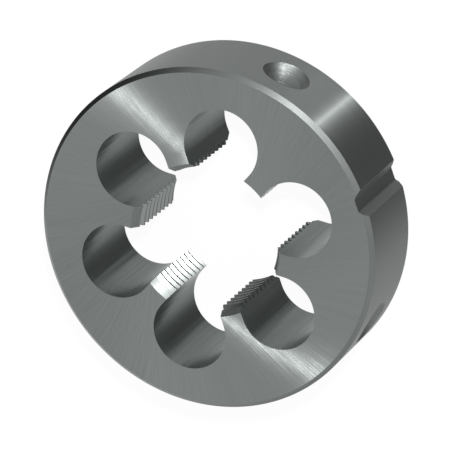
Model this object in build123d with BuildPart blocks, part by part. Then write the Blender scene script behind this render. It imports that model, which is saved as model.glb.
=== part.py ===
from build123d import *
import os
from math import cos, radians, sin, tan

# A round threading die for M24 x 1.5, in millimetres. The die lies flat, with its back face on z = 0 and
# its axis along +Z. The notch for the die stock's middle screw is on +X.

# The hardened blank
die_diameter = 55.0
die_thickness = 16.0
rim_chamfer = 0.7

# The thread that the lands cut: right-handed, with a 60 degree form
thread_diameter = 24.0
thread_pitch = 1.5
thread_flank_angle = 30.0

# The cone that leads a rod into the thread at each face
lead_radius = 12.4
lead_angle = 30.0

# The chip clearance holes, with a cutting land between each pair
hole_count = 6
hole_radius = 6.03
hole_circle_radius = 15.65

# The seats in the rim for the die stock's screws
notch_depth = 1.25
notch_floor_width = 2.0
notch_flank_angle = 45.0
notch_corner_radius = 0.4
dimple_mouth_radius = 4.0
dimple_cone_angle = 45.0
dimple_angle = 48.0

# How far each cutter runs on past the surface that it opens
cutter_overrun = 0.3

die_radius = die_diameter / 2
thread_radius = thread_diameter / 2
thread_sharp_height = thread_pitch / 2 / tan(radians(thread_flank_angle))
crest_radius = thread_radius - 5 / 8 * thread_sharp_height
lead_depth = (lead_radius - crest_radius) / tan(radians(lead_angle))

# Each hole opens into the bore between two flat land faces. They touch the hole's circle, run parallel
# to the middle lines of the lands on either side, and would meet at a point near the die's axis.
land_spacing = 360 / hole_count
face_angle = radians(land_spacing / 2)
face_start_x = -hole_radius * sin(face_angle)
face_start_y = hole_radius * cos(face_angle)
face_meeting_x = -hole_radius / sin(face_angle)

notch_floor_x = die_radius - notch_depth
notch_mouth_x = die_radius + cutter_overrun
notch_mouth_half = notch_floor_width / 2 + (notch_mouth_x - notch_floor_x) * tan(radians(notch_flank_angle))

dimple_depth = dimple_mouth_radius / tan(radians(dimple_cone_angle))
dimple_point_radius = die_radius - dimple_depth
dimple_cutter_height = dimple_depth + cutter_overrun
dimple_cutter_radius = dimple_cutter_height * tan(radians(dimple_cone_angle))


def dimple_plane(angle):
    """The plane at a dimple's point, facing out of the rim at this angle from the notch."""
    outward = Vector(cos(radians(angle)), sin(radians(angle)), 0)
    return Plane(origin=outward * dimple_point_radius + Vector(0, 0, die_thickness / 2), z_dir=outward)


# One pass of the thread groove across one land, with room to spare at both ends
pass_angle = land_spacing / 2
groove_height = thread_radius - crest_radius
groove_floor_half = thread_pitch / 16
groove_mouth_half = groove_floor_half + (groove_height + cutter_overrun) * tan(radians(thread_flank_angle))

with BuildPart() as groove_pass:
    with BuildLine() as groove_path:
        Helix(pitch=thread_pitch, height=thread_pitch * pass_angle / 360, radius=crest_radius)
    with BuildSketch(Plane(origin=groove_path.line @ 0, x_dir=(1, 0, 0), z_dir=groove_path.line % 0)):
        with BuildLine():
            Polyline(
                (-cutter_overrun, -groove_mouth_half),
                (groove_height, -groove_floor_half),
                (groove_height, groove_floor_half),
                (-cutter_overrun, groove_mouth_half),
                close=True,
            )
        make_face()
    sweep(path=groove_path.line, is_frenet=True)

# The groove crosses the lands in turn, so each pass is one land further round and a sixth of a pitch up.
# The first pass is a whole pitch below the back face, and the last is one above the front face.
pass_rise = thread_pitch / hole_count
pass_count = round((die_thickness + 2 * thread_pitch) / pass_rise) + 1
first_pass_turn = (land_spacing - pass_angle) / 2
groove_passes = [
    Location(
        (0, 0, index * pass_rise - thread_pitch),
        (0, 0, first_pass_turn + index * land_spacing),
    )
    for index in range(pass_count)
]


with BuildPart() as threading_die:
    # The turned blank
    with BuildSketch():
        Circle(die_radius)
    extrude(amount=die_thickness)
    chamfer(threading_die.edges().filter_by(GeomType.CIRCLE), length=rim_chamfer)

    # The bore, which widens to the lead at each face
    with BuildSketch(Plane.XZ):
        with BuildLine():
            Polyline(
                (0, 0),
                (lead_radius, 0),
                (crest_radius, lead_depth),
                (crest_radius, die_thickness - lead_depth),
                (lead_radius, die_thickness),
                (0, die_thickness),
                close=True,
            )
        make_face()
    revolve(axis=Axis.Z, mode=Mode.SUBTRACT)

    # The clearance holes and the land faces beside them
    with BuildSketch():
        with PolarLocations(hole_circle_radius, hole_count):
            Circle(hole_radius)
            Polygon(
                (face_meeting_x, 0),
                (face_start_x, -face_start_y),
                (face_start_x, face_start_y),
                align=None,
            )
    extrude(amount=die_thickness, mode=Mode.SUBTRACT)

    # The notch, which runs along the rim from face to face
    with BuildSketch():
        with BuildLine():
            Polyline(
                (notch_mouth_x, -notch_mouth_half),
                (notch_floor_x, -notch_floor_width / 2),
                (notch_floor_x, notch_floor_width / 2),
                (notch_mouth_x, notch_mouth_half),
                close=True,
            )
        notch_outline = make_face()
        fillet(notch_outline.vertices().group_by(Axis.X)[0], radius=notch_corner_radius)
    extrude(amount=die_thickness, mode=Mode.SUBTRACT)

    # The conical dimples, one on each side of the notch
    with Locations(dimple_plane(-dimple_angle), dimple_plane(dimple_angle)):
        Cone(
            bottom_radius=0,
            top_radius=dimple_cutter_radius,
            height=dimple_cutter_height,
            align=(Align.CENTER, Align.CENTER, Align.MIN),
            mode=Mode.SUBTRACT,
        )

    # The thread teeth, left between the passes of the groove
    with Locations(*groove_passes):
        add(groove_pass.part, mode=Mode.SUBTRACT)

threading_die.part.label = "threading_die"

os.makedirs("parts", exist_ok=True)
export_step(threading_die.part, "parts/threading_die.step")
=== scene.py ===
from math import cos, pi, radians, sin, tan

import bmesh
import bpy
from mathutils import Matrix, Vector


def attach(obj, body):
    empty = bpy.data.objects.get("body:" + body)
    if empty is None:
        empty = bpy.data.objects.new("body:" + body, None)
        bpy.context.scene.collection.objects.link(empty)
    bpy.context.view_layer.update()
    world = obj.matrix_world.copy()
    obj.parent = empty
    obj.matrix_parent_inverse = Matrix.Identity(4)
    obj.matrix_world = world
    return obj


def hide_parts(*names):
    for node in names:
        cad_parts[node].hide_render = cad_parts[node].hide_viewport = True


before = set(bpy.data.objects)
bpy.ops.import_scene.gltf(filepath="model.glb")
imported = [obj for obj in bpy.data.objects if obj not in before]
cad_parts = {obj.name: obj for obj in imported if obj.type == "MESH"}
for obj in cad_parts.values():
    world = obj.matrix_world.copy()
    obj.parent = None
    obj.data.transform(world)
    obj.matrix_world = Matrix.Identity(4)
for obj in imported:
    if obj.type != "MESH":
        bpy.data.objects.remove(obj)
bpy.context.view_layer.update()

MM = 0.001

# The die lies flat: its back face is on z = 0, its axis is +Z and its notch is on +X.
# Lengths are in metres. Angles named azimuth, elevation or turn are in degrees.
die_radius = 27.5 * MM
die_thickness = 16 * MM
rim_chamfer = 0.7 * MM
crest_radius = 11.188 * MM
root_radius = 12 * MM
lead_radius = 12.4 * MM
lead_angle = radians(30)
lead_depth = (lead_radius - crest_radius) / tan(lead_angle)
hole_count = 6
hole_radius = 6.03 * MM
hole_circle_radius = 15.65 * MM
land_face_angle = radians(30)
thread_pitch = 1.5 * MM
thread_flank_angle = radians(30)
thread_start_angle = radians(15)
thread_turns = 13
notch_depth = 1.25 * MM
notch_floor_half = 1.0 * MM
notch_flank_angle = radians(45)
notch_corner_radius = 0.4 * MM
dimple_mouth_radius = 4 * MM
dimple_azimuth = 48

# How far the cutters go past a curved surface and past a flat face
cutter_overrun = 0.3 * MM
end_overrun = 1 * MM

# How many straight steps stand for each curve. Those of the thread are for one turn of it.
round_steps = 288
hole_steps = 96
dimple_steps = 96
corner_steps = 6
thread_steps = 144

# Corners nearer than this are joined, and edges sharper than this stay hard.
merge_distance = MM / 2000
sharp_angle = radians(28)

# Ground steel is a middle grey with a little green in it.
steel_colour = (0.285, 0.306, 0.296)
# The hole walls' colour is a little darker and greener than the steel's; its darkness is painted shade in
# the holes.
wall_colour_and_shade = (0.258, 0.290, 0.281)

# The grinding lines of the faces are long arcs. All of them pass one point near the axis at one distance.
grinding_centre_x = -0.5 * MM
grinding_centre_y = 0.9 * MM
grinding_line_offset = 8.5 * MM
grinding_line_radius = 80 * MM
# The angle between a grinding line and the line out from the axis, stepped from the rim inwards
grinding_turns = [10, 12, 14.5, 17.5, 21, 25, 30, 36]


def direction(azimuth, elevation):
    reach = cos(radians(elevation))
    return Vector((reach * cos(radians(azimuth)), reach * sin(radians(azimuth)), sin(radians(elevation))))


class Value:
    """A number at one socket of a material's nodes. Arithmetic on it adds Math nodes."""

    def __init__(self, finish, socket):
        self.finish = finish
        self.socket = socket

    def __add__(self, other):
        return self.finish.math("ADD", self, other)

    def __radd__(self, other):
        return self.finish.math("ADD", other, self)

    def __sub__(self, other):
        return self.finish.math("SUBTRACT", self, other)

    def __rsub__(self, other):
        return self.finish.math("SUBTRACT", other, self)

    def __mul__(self, other):
        return self.finish.math("MULTIPLY", self, other)

    def __rmul__(self, other):
        return self.finish.math("MULTIPLY", other, self)

    def __truediv__(self, other):
        return self.finish.math("DIVIDE", self, other)

    def __pow__(self, other):
        return self.finish.math("POWER", self, other)


class Finish:
    """The nodes of one material, or of the world."""

    def __init__(self, owner):
        owner.use_nodes = True
        self.owner = owner
        self.tree = owner.node_tree
        self.tree.nodes.clear()

    def node(self, kind, settings=None, values=None):
        """Adds a node: its settings are set first, then the values or links of its sockets."""
        node = self.tree.nodes.new(kind)
        for name, setting in (settings or {}).items():
            setattr(node, name, setting)
        for name, value in (values or {}).items():
            if isinstance(value, Value):
                self.tree.links.new(value.socket, node.inputs[name])
            elif isinstance(value, bpy.types.NodeSocket):
                self.tree.links.new(value, node.inputs[name])
            else:
                node.inputs[name].default_value = value
        return node

    def math(self, operation, *operands):
        node = self.node("ShaderNodeMath", {"operation": operation}, dict(enumerate(operands)))
        return Value(self, node.outputs[0])

    def vector(self, operation, *operands):
        node = self.node("ShaderNodeVectorMath", {"operation": operation}, dict(enumerate(operands)))
        return node.outputs["Vector"]

    def along(self, vector, axis):
        """How far a vector reaches along an axis."""
        node = self.node("ShaderNodeVectorMath", {"operation": "DOT_PRODUCT"}, {0: vector, 1: axis})
        return Value(self, node.outputs["Value"])

    def parts(self, vector):
        """The x, y and z of a vector."""
        node = self.node("ShaderNodeSeparateXYZ", values={0: vector})
        return [Value(self, socket) for socket in node.outputs]

    def finished(self, shader):
        self.node("ShaderNodeOutputMaterial", values={"Surface": shader})
        return self.owner


def new_finish(name):
    return Finish(bpy.data.materials.new(name))


def place(finish):
    return finish.node("ShaderNodeTexCoord").outputs["Object"]


def noise(finish, x, y, z, detail):
    """Soft noise about zero, with features about one unit across: x * 90 gives 90 of them to the metre."""
    vector = finish.node("ShaderNodeCombineXYZ", values={0: x, 1: y, 2: z}).outputs[0]
    values = {"Vector": vector, "Scale": 1.0, "Detail": detail}
    return Value(finish, finish.node("ShaderNodeTexNoise", values=values).outputs[0]) - 0.5


def leaning(finish, x, y, z):
    """The surface's normal, leaning by these slopes along the three axes."""
    normal = finish.node("ShaderNodeNewGeometry").outputs["Normal"]
    slopes = finish.node("ShaderNodeCombineXYZ", values={0: x, 1: y, 2: z}).outputs[0]
    return finish.vector("NORMALIZE", finish.vector("ADD", normal, slopes))


def tinted(finish, shade, colour=steel_colour):
    """A steel's colour, lighter or darker by this share."""
    scale = finish.node("ShaderNodeVectorMath", {"operation": "SCALE"}, {0: colour, "Scale": shade})
    return scale.outputs["Vector"]


def steel(finish, roughness, colour, normal=None, anisotropic=0.0, turn=0.0):
    """Bare steel. Its fine grooves run outwards from the axis, turned by this many degrees."""
    values = {
        "Base Color": colour,
        "Metallic": 1.0,
        "Roughness": roughness,
        "Anisotropic": anisotropic,
        "Anisotropic Rotation": turn / 360,
    }
    if normal is not None:
        values["Normal"] = normal
    return finish.node("ShaderNodeBsdfPrincipled", values=values).outputs["BSDF"]


def plain_steel(name, roughness, shade):
    finish = new_finish(name)
    # A shade under 1 darkens the steel's colour: on the thread and the notch it is painted shade.
    colour = (*[part * shade for part in steel_colour], 1)
    return finish.finished(steel(finish, roughness, colour))


def mixed(finish, share, first, second):
    return finish.node("ShaderNodeMixShader", values={0: share, 1: first, 2: second}).outputs[0]


def brushed(finish, turn_sine, roughness, colour, normal):
    """Steel whose grooves turn from point to point, as a fan of steels that pass into one another."""
    shaders = [steel(finish, roughness, colour, normal, 1.0, turn) for turn in grinding_turns]
    sines = [sin(radians(turn)) for turn in grinding_turns]
    shader = shaders[0]
    for index in range(1, len(shaders)):
        values = {"Value": turn_sine, "From Min": sines[index - 1], "From Max": sines[index]}
        share = finish.node("ShaderNodeMapRange", values=values).outputs[0]
        shader = mixed(finish, share, shader, shaders[index])
    return shader


def grinding_lines(finish):
    """For each point: its line's place, how far along the line it is, the way across and the turn's sine."""
    x, y, _ = finish.parts(place(finish))
    x = x - grinding_centre_x
    y = y - grinding_centre_y
    radius = (x * x + y * y) ** 0.5
    out_x = x / radius
    out_y = y / radius
    # A line is an arc, and its place is the direction from the grinding centre to its nearest point.
    far = grinding_line_radius + grinding_line_offset
    arc_square = grinding_line_radius**2
    near_cosine = (radius * radius + far * far - arc_square) / (radius * 2 * far)
    near_sine = (1 - near_cosine * near_cosine) ** 0.5
    near = (out_x * near_cosine + out_y * near_sine, out_y * near_cosine - out_x * near_sine)
    along = radius * near_sine
    # The turn is the angle between the arc and the line out from the centre.
    turn_sine = (far * far - arc_square - radius * radius) / (radius * 2 * grinding_line_radius)
    turn_cosine = (1 - turn_sine * turn_sine) ** 0.5
    across = (0 - out_y * turn_cosine - out_x * turn_sine, out_x * turn_cosine - out_y * turn_sine)
    return near, along, across, turn_sine


def ground_steel(name):
    """The flat faces. The slopes and tints of the steel follow the long grinding lines."""
    finish = new_finish(name)
    (near_x, near_y), along, (across_x, across_y), turn_sine = grinding_lines(finish)
    # The fine lines, broad unevenness across them, and a little stray slope along them
    fine = noise(finish, near_x * 700, near_y * 700, along * 200, detail=2)
    broad = noise(finish, near_x * 40, near_y * 40, along * 60 + 7, detail=3)
    stray = noise(finish, near_x * 120, near_y * 120, along * 50 + 3, detail=2)
    stray_slope = 0.07
    lean = fine * 1.2 + broad * 0.12
    lean_x = across_x * lean + across_y * stray * stray_slope
    lean_y = across_y * lean - across_x * stray * stray_slope
    normal = leaning(finish, lean_x, lean_y, 0)
    roughness = 0.29 + fine * 0.1
    colour = tinted(finish, 1 + fine * 0.2 + broad * 0.15)
    return finish.finished(brushed(finish, turn_sine, roughness, colour, normal))


def turned_steel(name, roughness, anisotropic, slope, shade=1.0, honed_share=0.0):
    """Steel with fine lines round the axis, and with a share of it honed to finer lines."""
    finish = new_finish(name)
    x, y, z = finish.parts(place(finish))
    lines = noise(finish, x * 90, y * 90, z * 3100, detail=3)
    normal = leaning(finish, 0, 0, lines * slope)
    # A shade under 1 is painted shade, as on the chamfers and crests; over 1 it is painted light, as on the
    # lead cones.
    colour = tinted(finish, shade + lines * 0.15)
    shader = steel(finish, roughness + lines * 0.05, colour, normal, anisotropic, turn=90)
    if honed_share:
        values = {"Color": colour, "Roughness": 0.19, "Anisotropy": 0.82, "Normal": normal}
        honed = finish.node("ShaderNodeBsdfAnisotropic", values=values).outputs["BSDF"]
        shader = mixed(finish, honed_share, shader, honed)
    return finish.finished(shader)


def drilled_steel(name):
    """The walls of the clearance holes: faint rings from the drill, and soft bands along the hole. Their
    colour is darkened with painted shade.
    """
    finish = new_finish(name)
    x, y, z = finish.parts(place(finish))
    rings = noise(finish, x * 150, y * 150, z * 3600, detail=3)
    bands = noise(finish, x * 1500, y * 1500, z * 40, detail=3)
    outwards = finish.node("ShaderNodeNewGeometry").outputs["Normal"]
    round_x, round_y, _ = finish.parts(finish.vector("CROSS_PRODUCT", (0, 0, 1), outwards))
    normal = leaning(finish, round_x * bands * 0.3, round_y * bands * 0.3, rings * 0.25)
    # The walls' darker colour and the 0.9 are painted shade in the holes; the bands and rings in it are the
    # walls' own.
    colour = tinted(finish, 0.9 + bands * 0.4 + rings * 0.5, wall_colour_and_shade)
    return finish.finished(steel(finish, 0.33, colour, normal))


def dimple_steel(name, azimuth):
    """The cone of a dimple, with the rings that its cutter turned round the dimple's own axis."""
    finish = new_finish(name)
    outward = direction(azimuth, 0)
    tip = outward * (die_radius - dimple_mouth_radius) + Vector((0, 0, die_thickness / 2))
    from_tip = finish.vector("SUBTRACT", place(finish), tip)
    depth = finish.along(from_tip, outward)
    fine = noise(finish, depth * 30000, 0.5, 0.5, detail=2)
    rings = noise(finish, depth * 3500, 0.5, 0.5, detail=1)
    ring_slope = fine * 1.8 + rings * 0.25
    slopes = [part * ring_slope for part in finish.parts(finish.vector("NORMALIZE", from_tip))]
    # The dimple's colour is darkened to 0.85: painted shade in the dimple, with the rings' own tone on it.
    colour = tinted(finish, 0.85 + rings * 0.3)
    return finish.finished(steel(finish, 0.42, colour, leaning(finish, *slopes)))


ground_face = ground_steel("ground_face")
turned_rim = turned_steel("turned_rim", 0.25, 1.0, slope=0.04, honed_share=0.34)
# The chamfer's steel is darkened by a shade of 0.84: painted shade.
turned_chamfer_painted_shade = turned_steel("turned_chamfer_painted_shade", 0.36, 0.0, slope=0.1, shade=0.84)
# The lead cones' steel is lightened by a shade of 1.12: painted light.
turned_lead_painted_light = turned_steel("turned_lead_painted_light", 0.5, 0.9, slope=0.1, shade=1.12)
# The crests' steel is darkened by a shade of 0.7: painted shade between the thread's light lines.
bored_crest_painted_shade = turned_steel("bored_crest_painted_shade", 0.4, 0.6, slope=0.1, shade=0.7)
drilled_wall_painted_shade = drilled_steel("drilled_wall_painted_shade")
# The thread's steel is darkened by a shade of 0.8: painted shade in the grooves.
cut_thread_painted_shade = plain_steel("cut_thread_painted_shade", 0.26, shade=0.8)
# The notch's steel is darkened by a shade of 0.55: painted shade in the notch.
milled_notch_painted_shade = plain_steel("milled_notch_painted_shade", 0.5, shade=0.55)
left_dimple = dimple_steel("left_dimple", dimple_azimuth)
right_dimple = dimple_steel("right_dimple", -dimple_azimuth)

blank_finishes = [ground_face, turned_rim, turned_chamfer_painted_shade, turned_lead_painted_light, bored_crest_painted_shade]


def piece_from(name, shape, materials):
    mesh = bpy.data.meshes.new(name)
    shape.to_mesh(mesh)
    shape.free()
    for material in materials:
        mesh.materials.append(material)
    piece = bpy.data.objects.new(name, mesh)
    bpy.context.collection.objects.link(piece)
    return piece


def corners_of(made):
    return [item for item in made if isinstance(item, bmesh.types.BMVert)]


def outline(shape, points):
    """One flat face through a few corners."""
    return shape.faces.new([shape.verts.new(point) for point in points])


def blank_finish(face):
    """The finish that the lathe and the grinder leave on a face of the blank, with painted shade on the
    chamfers and crests and painted light on the lead cones.
    """
    middle = face.calc_center_median()
    outside = Vector((middle.x, middle.y)).length > lead_radius
    sloping = abs(face.normal.z) > 0.1
    if abs(face.normal.z) > 0.99:
        return ground_face
    if outside:
        return turned_chamfer_painted_shade if sloping else turned_rim
    return turned_lead_painted_light if sloping else bored_crest_painted_shade


def turned_blank():
    """The ring that the lathe leaves: rim, chamfers, faces, lead cones and bore."""
    shape = bmesh.new()
    section = outline(
        shape,
        [
            (lead_radius, 0, 0),
            (die_radius - rim_chamfer, 0, 0),
            (die_radius, 0, rim_chamfer),
            (die_radius, 0, die_thickness - rim_chamfer),
            (die_radius - rim_chamfer, 0, die_thickness),
            (lead_radius, 0, die_thickness),
            (crest_radius, 0, die_thickness - lead_depth),
            (crest_radius, 0, lead_depth),
        ],
    )
    edges = list(section.edges)
    bmesh.ops.delete(shape, geom=[section], context="FACES_ONLY")
    bmesh.ops.spin(
        shape,
        geom=edges + list(shape.verts),
        cent=(0, 0, 0),
        axis=(0, 0, 1),
        angle=2 * pi,
        steps=round_steps,
        use_merge=True,
    )
    bmesh.ops.recalc_face_normals(shape, faces=shape.faces)
    for face in shape.faces:
        face.material_index = blank_finishes.index(blank_finish(face))
    return shape


def extrude(shape, face, height):
    made = bmesh.ops.extrude_face_region(shape, geom=[face])
    bmesh.ops.translate(shape, verts=corners_of(made["geom"]), vec=(0, 0, height))
    bmesh.ops.recalc_face_normals(shape, faces=shape.faces)


def hole_cutter():
    """Every clearance hole and the two flat land faces beside it, as long prisms."""
    shape = bmesh.new()
    half_arc = pi / 2 + land_face_angle
    start = shape.verts.new((hole_radius * cos(half_arc), hole_radius * sin(half_arc), 0))
    arc = bmesh.ops.spin(
        shape,
        geom=[start],
        cent=(0, 0, 0),
        axis=(0, 0, -1),
        angle=2 * half_arc,
        steps=hole_steps,
    )
    end = corners_of(arc["geom_last"])[0]
    apex = shape.verts.new((-hole_radius / sin(land_face_angle), 0, 0))
    shape.edges.new((start, apex))
    shape.edges.new((end, apex))
    filled = bmesh.ops.contextual_create(shape, geom=shape.edges[:])
    extrude(shape, filled["faces"][0], die_thickness + 2 * end_overrun)
    bmesh.ops.translate(shape, verts=shape.verts, vec=(hole_circle_radius, 0, -end_overrun))
    step = Matrix.Rotation(2 * pi / hole_count, 4, "Z")
    source = shape.verts[:] + shape.edges[:] + shape.faces[:]
    for _ in range(hole_count - 1):
        source = bmesh.ops.duplicate(shape, geom=source)["geom"]
        bmesh.ops.rotate(shape, verts=corners_of(source), cent=(0, 0, 0), matrix=step)
    return shape


def notch_cutter():
    """A prism with a flat floor, sloping flanks and rounded corners between them."""
    shape = bmesh.new()
    floor_x = die_radius - notch_depth
    mouth_x = die_radius + cutter_overrun
    mouth_half = notch_floor_half + (mouth_x - floor_x) * tan(notch_flank_angle)
    corner_turn = pi / 2 - notch_flank_angle
    face = outline(
        shape,
        [
            (mouth_x, -mouth_half, -end_overrun),
            (mouth_x, mouth_half, -end_overrun),
            (floor_x, notch_floor_half, -end_overrun),
            (floor_x, -notch_floor_half, -end_overrun),
        ],
    )
    bmesh.ops.bevel(
        shape,
        geom=[corner for corner in face.verts if corner.co.x < die_radius],
        affect="VERTICES",
        offset=notch_corner_radius * tan(corner_turn / 2),
        offset_type="OFFSET",
        segments=corner_steps,
        profile=0.5,
        material=-1,
    )
    shape.faces.ensure_lookup_table()
    extrude(shape, shape.faces[0], die_thickness + 2 * end_overrun)
    return shape


def dimple_cutter(azimuth):
    shape = bmesh.new()
    depth = dimple_mouth_radius + cutter_overrun
    half_height = Matrix.Translation((0, 0, die_thickness / 2))
    outward = Matrix.Rotation(radians(azimuth), 4, "Z") @ Matrix.Rotation(pi / 2, 4, "Y")
    cone_middle = Matrix.Translation((0, 0, die_radius - dimple_mouth_radius + depth / 2))
    bmesh.ops.create_cone(
        shape,
        cap_ends=True,
        segments=dimple_steps,
        radius1=0,
        radius2=depth,
        depth=depth,
        matrix=half_height @ outward @ cone_middle,
    )
    bmesh.ops.remove_doubles(shape, verts=shape.verts, dist=merge_distance)
    bmesh.ops.recalc_face_normals(shape, faces=shape.faces)
    return shape


def groove_cutter():
    """One V groove that climbs the whole bore as a right-handed helix."""
    shape = bmesh.new()
    mouth_radius = crest_radius - cutter_overrun
    floor_half = thread_pitch / 16
    mouth_half = floor_half + (root_radius - mouth_radius) * tan(thread_flank_angle)
    face = outline(
        shape,
        [
            (mouth_radius, 0, -mouth_half),
            (root_radius, 0, -floor_half),
            (root_radius, 0, floor_half),
            (mouth_radius, 0, mouth_half),
        ],
    )
    start = Matrix.Rotation(thread_start_angle, 3, "Z")
    bmesh.ops.rotate(shape, verts=shape.verts, cent=(0, 0, 0), matrix=start)
    bmesh.ops.translate(shape, verts=shape.verts, vec=(0, 0, -thread_pitch))
    bmesh.ops.spin(
        shape,
        geom=[face] + list(face.edges) + list(face.verts),
        cent=(0, 0, 0),
        axis=(0, 0, 1),
        dvec=(0, 0, thread_pitch / thread_steps),
        angle=2 * pi * thread_turns,
        steps=thread_steps * thread_turns,
    )
    bmesh.ops.recalc_face_normals(shape, faces=shape.faces)
    return shape


def cut(piece, name, shape, material):
    """Takes a shape out of the piece. The surfaces that it leaves are of this material."""
    cutter = piece_from(name, shape, [material])
    modifier = piece.modifiers.new(name, "BOOLEAN")
    modifier.operation = "DIFFERENCE"
    modifier.solver = "EXACT"
    modifier.material_mode = "TRANSFER"
    modifier.object = cutter
    bpy.context.view_layer.update()
    evaluated = piece.evaluated_get(bpy.context.evaluated_depsgraph_get())
    cut_mesh = bpy.data.meshes.new_from_object(evaluated)
    piece.modifiers.clear()
    piece.data = cut_mesh
    bpy.data.objects.remove(cutter)


def smooth(piece):
    """Joins doubled corners, and shades the piece smooth up to its sharp edges."""
    shape = bmesh.new()
    shape.from_mesh(piece.data)
    bmesh.ops.remove_doubles(shape, verts=shape.verts, dist=merge_distance)
    for face in shape.faces:
        face.smooth = True
    for edge in shape.edges:
        edge.smooth = len(edge.link_faces) == 2 and edge.calc_face_angle(0) < sharp_angle
    shape.to_mesh(piece.data)
    shape.free()


def threading_die():
    piece = piece_from("die_body", turned_blank(), blank_finishes)
    cut(piece, "clearance_holes", hole_cutter(), drilled_wall_painted_shade)
    cut(piece, "notch_cutter", notch_cutter(), milled_notch_painted_shade)
    cut(piece, "left_dimple_cutter", dimple_cutter(dimple_azimuth), left_dimple)
    cut(piece, "right_dimple_cutter", dimple_cutter(-dimple_azimuth), right_dimple)
    cut(piece, "groove_cutter", groove_cutter(), cut_thread_painted_shade)
    smooth(piece)
    return piece


die = threading_die()
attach(die, "root")
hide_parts("threading_die")


def studio_camera():
    azimuth = 23.598
    elevation = 59.888
    roll = radians(129.823)
    distance = 541.655 * MM
    aim = Vector((-0.036, -0.142, 8.0)) * MM
    back = direction(azimuth, elevation)
    level_up = (Vector((0, 0, 1)) - back * back.z).normalized()
    level_right = level_up.cross(back)
    up = level_up * cos(roll) + level_right * sin(roll)
    right = up.cross(back)
    data = bpy.data.cameras.new("studio_camera")
    data.lens = 280
    data.sensor_width = 36
    data.clip_end = 100
    camera = bpy.data.objects.new("studio_camera", data)
    bpy.context.collection.objects.link(camera)
    orientation = Matrix((right, up, back)).transposed().to_4x4()
    camera.matrix_world = Matrix.Translation(aim + back * distance) @ orientation
    bpy.context.scene.camera = camera


def studio_floor():
    """A pale floor. The camera sees nearly all of it as plain white, and the die doesn't reflect it."""
    half_width = 3
    white_share = 0.95
    shape = bmesh.new()
    bmesh.ops.create_grid(shape, x_segments=1, y_segments=1, size=half_width)
    finish = new_finish("pale_floor")
    path = finish.node("ShaderNodeLightPath")
    paint = finish.node("ShaderNodeBsdfDiffuse", values={"Color": (0.95, 0.95, 0.95, 1)})
    white = finish.node("ShaderNodeEmission", values={"Color": (1, 1, 1, 1), "Strength": 1})
    seen = Value(finish, path.outputs["Is Camera Ray"]) * white_share
    material = finish.finished(mixed(finish, seen, paint.outputs[0], white.outputs[0]))
    floor = piece_from("studio_floor", shape, [material])
    floor.visible_glossy = False


def rising(finish, value, start, end):
    """0 at the start, 1 at the end, and smooth between them."""
    values = {"Value": value, "From Min": start, "From Max": end}
    share = finish.node("ShaderNodeMapRange", {"interpolation_type": "SMOOTHSTEP"}, values)
    return Value(finish, share.outputs[0])


def facing(finish, towards, azimuth, elevation, inner, outer):
    """1 inside the inner angle from a direction, falling to 0 at the outer angle, both in degrees."""
    nearness = finish.along(towards, direction(azimuth, elevation))
    return rising(finish, nearness, cos(radians(outer)), cos(radians(inner)))


def studio_light():
    """An even pale world, with two soft dark patches and three soft bright ones."""
    world = bpy.data.worlds.new("studio")
    bpy.context.scene.world = world
    finish = Finish(world)
    towards = finish.node("ShaderNodeTexCoord").outputs["Generated"]
    horizontal = finish.vector("NORMALIZE", finish.vector("MULTIPLY", towards, (1, 1, 0)))
    height = finish.parts(towards)[2]
    low = rising(finish, height, start=0.1, end=-0.3)
    front = facing(finish, horizontal, -3, 0, inner=12, outer=62) * low
    side = facing(finish, towards, 140, 2, inner=22, outer=54)
    above = facing(finish, towards, 203, 60, inner=10, outer=75)
    below = facing(finish, towards, 192, -50, inner=8, outer=38)
    left = facing(finish, towards, -64, 44, inner=6, outer=28)
    # Each number is the share of the light that a patch takes away or adds.
    dark = (1 - 0.78 * front) * (1 - 0.97 * side)
    bright = (1 + 0.2 * above) * (1 + 1.0 * below) * (1 + 0.7 * left)
    plain_strength = 0.6
    strength = plain_strength * dark * bright
    glow = finish.node("ShaderNodeBackground", values={"Color": (1, 1, 1, 1), "Strength": strength})
    finish.node("ShaderNodeOutputWorld", values={"Surface": glow.outputs[0]})


def lamp(name, azimuth, elevation, distance, size, brightness):
    """A square lamp that faces the die. Its brightness there is the same from any distance."""
    data = bpy.data.lights.new(name, "AREA")
    data.shape = "RECTANGLE"
    data.size = size
    data.size_y = size
    data.energy = brightness * pi * pi * distance * distance
    lamp_object = bpy.data.objects.new(name, data)
    bpy.context.collection.objects.link(lamp_object)
    out = direction(azimuth, elevation)
    stand = Matrix.Translation(out * distance + Vector((0, 0, die_thickness / 2)))
    lamp_object.matrix_world = stand @ out.to_track_quat("Z", "Y").to_matrix().to_4x4()
    lamp_object.visible_camera = False


studio_camera()
studio_floor()
studio_light()
lamp("key", azimuth=32.5, elevation=54, distance=0.5, size=0.02, brightness=0.75)
lamp("fill", azimuth=46, elevation=30, distance=0.6, size=0.12, brightness=0.11)
lamp("low", azimuth=32.0, elevation=4, distance=0.5, size=0.012, brightness=0.3)

bpy.context.scene.view_settings.view_transform = "Standard"
